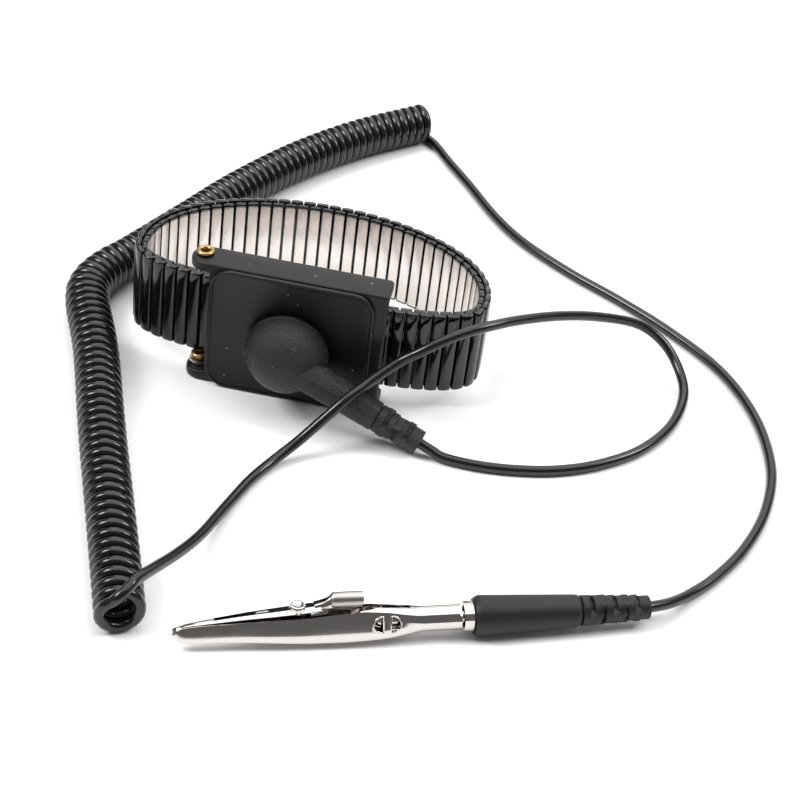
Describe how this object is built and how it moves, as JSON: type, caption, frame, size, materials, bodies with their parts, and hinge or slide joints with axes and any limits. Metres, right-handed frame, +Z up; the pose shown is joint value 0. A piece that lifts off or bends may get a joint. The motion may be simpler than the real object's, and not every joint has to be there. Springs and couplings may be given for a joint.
{
  "type": "esd wrist strap",
  "caption": "Anti-static wrist strap: expanding link bracelet with a plastic case, a detachable coiled ground cord, a banana plug and a toothless alligator clip.",
  "frame": {"origin": "on the table under the middle of the bracelet with the pressed-on head of its cord", "axes": "+X across the case towards its open end, +Y from the case to the back of the bracelet, +Z up"},
  "size_m": [0.1493, 0.1899, 0.0289],
  "materials": {
    "black_plastic": "moulded, fine texture",
    "soft_black": "soft moulding, speckled",
    "gloss_black": "glossy black lacquer over steel links",
    "cord_black": "semi-gloss cord jacket",
    "steel": "stainless, satin",
    "nickel": "bright nickel plate",
    "brass": "satin brass",
    "resistor_beige": "lacquered resistor body"
  },
  "bodies": {
    "head": {"head_moulding": "soft_black", "snap_socket": "steel", "resistor": "resistor_beige", "head_relief": "soft_black", "head_lead": "cord_black", "coil_near": "cord_black", "coil_bend_1": "cord_black", "coil_bend_2": "cord_black", "coil_bend_3": "cord_black", "coil_far_1": "cord_black", "coil_far_2": "cord_black", "plug_lead": "cord_black", "plug_handle": "soft_black", "plug_relief": "soft_black", "banana_pin": "nickel"},
    "socket ring": {"snap_ring": "steel"},
    "case": {"case": "black_plastic", "front_cover": "black_plastic", "eyelet_top": "brass", "eyelet_bottom": "brass", "snap_stud": "nickel", "stud_washer": "steel", "band_anchor_left": "steel", "band_anchor_right": "steel"},
    "back plate": {"back_plate": "steel"},
    "pin cage": {"pin_cage": "brass"},
    "clip": {"clip_body": "nickel", "clip_pivot": "nickel", "clip_spring": "steel"},
    "clip jaw": {"clip_jaw": "nickel"},
    "links 01": {"link_pair_01": "gloss_black"},
    "links 02": {"link_pair_02": "gloss_black"},
    "links 03": {"link_pair_03": "gloss_black"},
    "links 04": {"link_pair_04": "gloss_black"},
    "links 05": {"link_pair_05": "gloss_black"},
    "links 06": {"link_pair_06": "gloss_black"},
    "links 07": {"link_pair_07": "gloss_black"},
    "links 08": {"link_pair_08": "gloss_black"},
    "links 09": {"link_pair_09": "gloss_black"},
    "links 10": {"link_pair_10": "gloss_black"},
    "links 11": {"link_pair_11": "gloss_black"},
    "links 12": {"link_pair_12": "gloss_black"},
    "links 13": {"link_pair_13": "gloss_black"},
    "links 14": {"link_pair_14": "gloss_black"},
    "links 15": {"link_pair_15": "gloss_black"},
    "links 16": {"link_pair_16": "gloss_black"},
    "links 17": {"link_pair_17": "gloss_black"},
    "links 18": {"link_pair_18": "gloss_black"},
    "links 19": {"link_pair_19": "gloss_black"},
    "links 20": {"link_pair_20": "gloss_black"},
    "links 21": {"link_pair_21": "gloss_black"},
    "links 22": {"link_pair_22": "gloss_black"},
    "links 23": {"link_pair_23": "gloss_black"},
    "links 24": {"link_pair_24": "gloss_black"},
    "links 25": {"link_pair_25": "gloss_black"},
    "links 26": {"link_pair_26": "gloss_black"}
  },
  "joints": [
    {"name": "snap_swivel", "type": "hinge", "parent": "head", "child": "socket ring", "pos_m": [-0.001, -0.0185, 0.0126], "axis": [0, 1, 0], "continuous": true, "deforming": ["coil_bend_3", "coil_far_1"]},
    {"name": "snap_release", "type": "slide", "parent": "socket ring", "child": "case", "axis": [0, 1, 0], "range_m": [0, 0.0045]},
    {"name": "back_plate_hinge", "type": "hinge", "parent": "case", "child": "back plate", "pos_m": [-0.0197, -0.0098, 0.014], "axis": [0, 0, 1], "range_deg": [0, 45]},
    {"name": "clip_turn", "type": "hinge", "parent": "head", "child": "pin cage", "pos_m": [0.03781, -0.0729, 0.0037], "axis": [0.9367, 0.3502, 0], "continuous": true},
    {"name": "clip_pull", "type": "slide", "parent": "pin cage", "child": "clip", "axis": [-0.9367, -0.3502, 0], "range_m": [0, 0.0165]},
    {"name": "jaw_open", "type": "hinge", "parent": "clip", "child": "clip jaw", "pos_m": [0.01945, -0.07947, 0.00445], "axis": [-0.3291, 0.8802, -0.342], "range_deg": [0, 12], "stiffness_Nm_per_rad": 0.15, "springref_deg": -20.05},
    {"name": "links_01_slide", "type": "slide", "parent": "case", "child": "links 01", "axis": [-0.9645, 0.2642, 0], "range_m": [0, 0.00065]},
    {"name": "links_02_slide", "type": "slide", "parent": "case", "child": "links 02", "axis": [-0.9642, 0.2651, 0], "range_m": [0, 0.00176]},
    {"name": "links_03_slide", "type": "slide", "parent": "case", "child": "links 03", "axis": [-0.9194, 0.3934, 0], "range_m": [0, 0.00286]},
    {"name": "links_04_slide", "type": "slide", "parent": "case", "child": "links 04", "axis": [-0.7481, 0.6636, 0], "range_m": [0, 0.0037]},
    {"name": "links_05_slide", "type": "slide", "parent": "case", "child": "links 05", "axis": [-0.5686, 0.8226, 0], "range_m": [0, 0.00438]},
    {"name": "links_06_slide", "type": "slide", "parent": "case", "child": "links 06", "axis": [-0.4883, 0.8727, 0], "range_m": [0, 0.00552]},
    {"name": "links_07_slide", "type": "slide", "parent": "case", "child": "links 07", "axis": [-0.447, 0.8945, 0], "range_m": [0, 0.00706]},
    {"name": "links_08_slide", "type": "slide", "parent": "case", "child": "links 08", "axis": [-0.3992, 0.9169, 0], "range_m": [0, 0.00878]},
    {"name": "links_09_slide", "type": "slide", "parent": "case", "child": "links 09", "axis": [-0.3388, 0.9409, 0], "range_m": [0, 0.01044]},
    {"name": "links_10_slide", "type": "slide", "parent": "case", "child": "links 10", "axis": [-0.2695, 0.963, 0], "range_m": [0, 0.01187]},
    {"name": "links_11_slide", "type": "slide", "parent": "case", "child": "links 11", "axis": [-0.1947, 0.9809, 0], "range_m": [0, 0.01299]},
    {"name": "links_12_slide", "type": "slide", "parent": "case", "child": "links 12", "axis": [-0.1171, 0.9931, 0], "range_m": [0, 0.01374]},
    {"name": "band_stretch", "type": "slide", "parent": "case", "child": "links 13", "axis": [-0.0383, 0.9993, 0], "range_m": [0, 0.01398], "stiffness_N_per_m": 300},
    {"name": "links_14_slide", "type": "slide", "parent": "case", "child": "links 14", "axis": [0.0406, 0.9992, 0], "range_m": [0, 0.01401]},
    {"name": "links_15_slide", "type": "slide", "parent": "case", "child": "links 15", "axis": [0.1185, 0.993, 0], "range_m": [0, 0.01354]},
    {"name": "links_16_slide", "type": "slide", "parent": "case", "child": "links 16", "axis": [0.194, 0.981, 0], "range_m": [0, 0.01268]},
    {"name": "links_17_slide", "type": "slide", "parent": "case", "child": "links 17", "axis": [0.2651, 0.9642, 0], "range_m": [0, 0.01146]},
    {"name": "links_18_slide", "type": "slide", "parent": "case", "child": "links 18", "axis": [0.3286, 0.9445, 0], "range_m": [0, 0.00996]},
    {"name": "links_19_slide", "type": "slide", "parent": "case", "child": "links 19", "axis": [0.3805, 0.9248, 0], "range_m": [0, 0.0083]},
    {"name": "links_20_slide", "type": "slide", "parent": "case", "child": "links 20", "axis": [0.4193, 0.9079, 0], "range_m": [0, 0.00667]},
    {"name": "links_21_slide", "type": "slide", "parent": "case", "child": "links 21", "axis": [0.464, 0.8858, 0], "range_m": [0, 0.00531]},
    {"name": "links_22_slide", "type": "slide", "parent": "case", "child": "links 22", "axis": [0.5799, 0.8147, 0], "range_m": [0, 0.00439]},
    {"name": "links_23_slide", "type": "slide", "parent": "case", "child": "links 23", "axis": [0.8158, 0.5783, 0], "range_m": [0, 0.00383]},
    {"name": "links_24_slide", "type": "slide", "parent": "case", "child": "links 24", "axis": [0.943, 0.3329, 0], "range_m": [0, 0.00283]},
    {"name": "links_25_slide", "type": "slide", "parent": "case", "child": "links 25", "axis": [0.9744, 0.2249, 0], "range_m": [0, 0.00172]},
    {"name": "links_26_slide", "type": "slide", "parent": "case", "child": "links 26", "axis": [0.9748, 0.2229, 0], "range_m": [0, 0.00061]}
  ],
  "couplings": [
    {"joint": "links_01_slide", "follows": "band_stretch", "ratio": 0.039},
    {"joint": "links_02_slide", "follows": "band_stretch", "ratio": 0.1185},
    {"joint": "links_03_slide", "follows": "band_stretch", "ratio": 0.1976},
    {"joint": "links_04_slide", "follows": "band_stretch", "ratio": 0.2573},
    {"joint": "links_05_slide", "follows": "band_stretch", "ratio": 0.3065},
    {"joint": "links_06_slide", "follows": "band_stretch", "ratio": 0.3874},
    {"joint": "links_07_slide", "follows": "band_stretch", "ratio": 0.4976},
    {"joint": "links_08_slide", "follows": "band_stretch", "ratio": 0.6206},
    {"joint": "links_09_slide", "follows": "band_stretch", "ratio": 0.7393},
    {"joint": "links_10_slide", "follows": "band_stretch", "ratio": 0.8421},
    {"joint": "links_11_slide", "follows": "band_stretch", "ratio": 0.9221},
    {"joint": "links_12_slide", "follows": "band_stretch", "ratio": 0.9754},
    {"joint": "links_14_slide", "follows": "band_stretch", "ratio": 0.9953},
    {"joint": "links_15_slide", "follows": "band_stretch", "ratio": 0.9615},
    {"joint": "links_16_slide", "follows": "band_stretch", "ratio": 0.8997},
    {"joint": "links_17_slide", "follows": "band_stretch", "ratio": 0.8127},
    {"joint": "links_18_slide", "follows": "band_stretch", "ratio": 0.7053},
    {"joint": "links_19_slide", "follows": "band_stretch", "ratio": 0.5864},
    {"joint": "links_20_slide", "follows": "band_stretch", "ratio": 0.4697},
    {"joint": "links_21_slide", "follows": "band_stretch", "ratio": 0.3727},
    {"joint": "links_22_slide", "follows": "band_stretch", "ratio": 0.3067},
    {"joint": "links_23_slide", "follows": "band_stretch", "ratio": 0.2666},
    {"joint": "links_24_slide", "follows": "band_stretch", "ratio": 0.1956},
    {"joint": "links_25_slide", "follows": "band_stretch", "ratio": 0.1158},
    {"joint": "links_26_slide", "follows": "band_stretch", "ratio": 0.0363}
  ]
}
